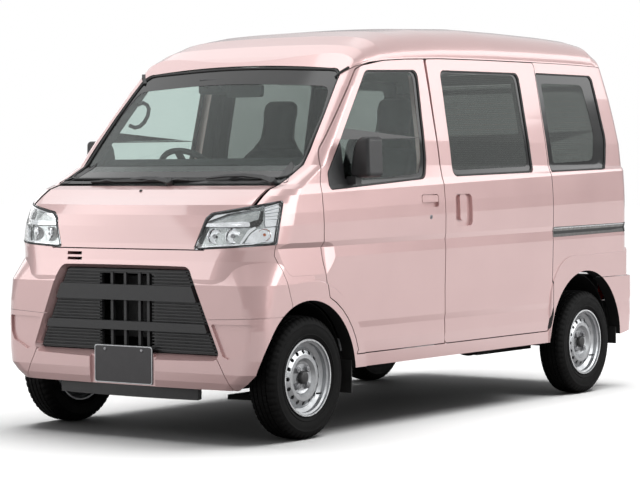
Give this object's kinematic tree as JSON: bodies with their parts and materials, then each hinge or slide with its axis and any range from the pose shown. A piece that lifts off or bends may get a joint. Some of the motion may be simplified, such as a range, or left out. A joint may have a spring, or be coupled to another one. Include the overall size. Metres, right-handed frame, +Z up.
{
  "type": "kei van",
  "caption": "Small high-roof one-box van with hinged front doors, tailgate and bonnet, steered front wheels and hollow cab and load space.",
  "frame": {"origin": "centre of the footprint box on the ground", "axes": "+X to the van's left, -Y to its front, +Z up"},
  "size_m": [1.6626, 3.385, 1.8747],
  "materials": {
    "paint": "pearl gloss, pale rose",
    "glass": "green-tinted clear glass",
    "dark_glass": "dark privacy glass",
    "black_trim": "satin black plastic",
    "plate": "blank dark grey plate",
    "lamp_lens": "clear polycarbonate",
    "lamp_silver": "aluminised reflector",
    "red_lens": "red lens",
    "steel": "bare machined steel",
    "silver": "silver wheel paint",
    "black_metal": "black underseal",
    "cast_metal": "cast alloy",
    "dark_trim": "grained dark grey plastic",
    "fabric": "woven grey cloth",
    "tyre": "black tyre rubber",
    "rubber": "black rubber",
    "rail_metal": "grey metal"
  },
  "bodies": {
    "body_shell": {"b_pillars": "paint", "body_side_left": "paint", "body_side_right": "paint", "bulkhead": "black_metal", "cowl_panel": "black_trim", "dashboard": "dark_trim", "driveline": "steel", "engine": "cast_metal", "exhaust": "steel", "floor_pan": "paint", "front_bumper": "paint", "front_grille": "black_trim", "front_lip": "black_trim", "front_number_plate": "plate", "front_seats": "fabric", "front_suspension": "black_metal", "fuel_tank": "black_metal", "headlamp_housings": "lamp_silver", "headlamp_lenses": "lamp_lens", "interior_mirror": "dark_trim", "mud_flaps": "rubber", "quarter_windows": "dark_glass", "radiator": "cast_metal", "rear_axle": "black_metal", "rear_bench": "fabric", "rear_bumper": "paint", "roof_panel": "paint", "slide_rails": "rail_metal", "sliding_door_left": "paint", "sliding_door_right": "paint", "sliding_door_windows": "dark_glass", "spare_wheel": "tyre", "steering_column": "dark_trim", "tail_lamps": "red_lens", "wheel_houses_front": "black_trim", "wheel_houses_rear": "black_trim", "windscreen": "glass"},
    "door_front_left": {"door_front_left": "paint", "door_window_left": "glass", "door_mirror_left": "black_trim"},
    "knuckle_left": {"knuckle_left": "steel"},
    "wheel_front_left": {"tyre_front_left": "tyre", "rim_front_left": "silver"},
    "wheel_rear_left": {"tyre_rear_left": "tyre", "rim_rear_left": "silver"},
    "door_front_right": {"door_front_right": "paint", "door_window_right": "glass", "door_mirror_right": "black_trim"},
    "knuckle_right": {"knuckle_right": "steel"},
    "wheel_front_right": {"tyre_front_right": "tyre", "rim_front_right": "silver"},
    "wheel_rear_right": {"tyre_rear_right": "tyre", "rim_rear_right": "silver"},
    "tailgate": {"tailgate": "paint", "tailgate_window": "dark_glass", "rear_number_plate": "plate"},
    "bonnet": {"bonnet": "paint"},
    "steering_wheel": {"steering_wheel": "dark_trim"}
  },
  "joints": [
    {"name": "front_door_left_hinge", "type": "hinge", "parent": "body_shell", "child": "door_front_left", "pos_m": [0.741, -1.1955, 0.75], "axis": [0, 0, -1], "range_deg": [0, 65]},
    {"name": "front_door_right_hinge", "type": "hinge", "parent": "body_shell", "child": "door_front_right", "pos_m": [-0.741, -1.1955, 0.75], "axis": [0, 0, 1], "range_deg": [0, 65]},
    {"name": "tailgate_hinge", "type": "hinge", "parent": "body_shell", "child": "tailgate", "pos_m": [0, 1.5845, 1.703], "axis": [1, 0, 0], "range_deg": [0, 80]},
    {"name": "bonnet_hinge", "type": "hinge", "parent": "body_shell", "child": "bonnet", "pos_m": [0, -1.3475, 1.112], "axis": [-1, 0, 0], "range_deg": [0, 50]},
    {"name": "steer_left", "type": "hinge", "parent": "body_shell", "child": "knuckle_left", "pos_m": [0.58, -1.2925, 0.267], "axis": [0, 0, 1], "range_deg": [-35, 35]},
    {"name": "steer_right", "type": "hinge", "parent": "body_shell", "child": "knuckle_right", "pos_m": [-0.58, -1.2925, 0.267], "axis": [0, 0, 1], "range_deg": [-35, 35]},
    {"name": "steering_wheel_turn", "type": "hinge", "parent": "body_shell", "child": "steering_wheel", "pos_m": [-0.345, -0.7525, 1.125], "axis": [0, 0.7431, 0.6691], "range_deg": [-525, 525]},
    {"name": "wheel_front_left_spin", "type": "hinge", "parent": "knuckle_left", "child": "wheel_front_left", "pos_m": [0.6525, -1.2925, 0.267], "axis": [1, 0, 0], "continuous": true},
    {"name": "wheel_front_right_spin", "type": "hinge", "parent": "knuckle_right", "child": "wheel_front_right", "pos_m": [-0.6525, -1.2925, 0.267], "axis": [1, 0, 0], "continuous": true},
    {"name": "wheel_rear_left_spin", "type": "hinge", "parent": "body_shell", "child": "wheel_rear_left", "pos_m": [0.6525, 1.1575, 0.267], "axis": [1, 0, 0], "continuous": true},
    {"name": "wheel_rear_right_spin", "type": "hinge", "parent": "body_shell", "child": "wheel_rear_right", "pos_m": [-0.6525, 1.1575, 0.267], "axis": [1, 0, 0], "continuous": true}
  ],
  "couplings": [
    {"joint": "steer_right", "follows": "steer_left", "ratio": 1},
    {"joint": "steering_wheel_turn", "follows": "steer_left", "ratio": 15}
  ]
}
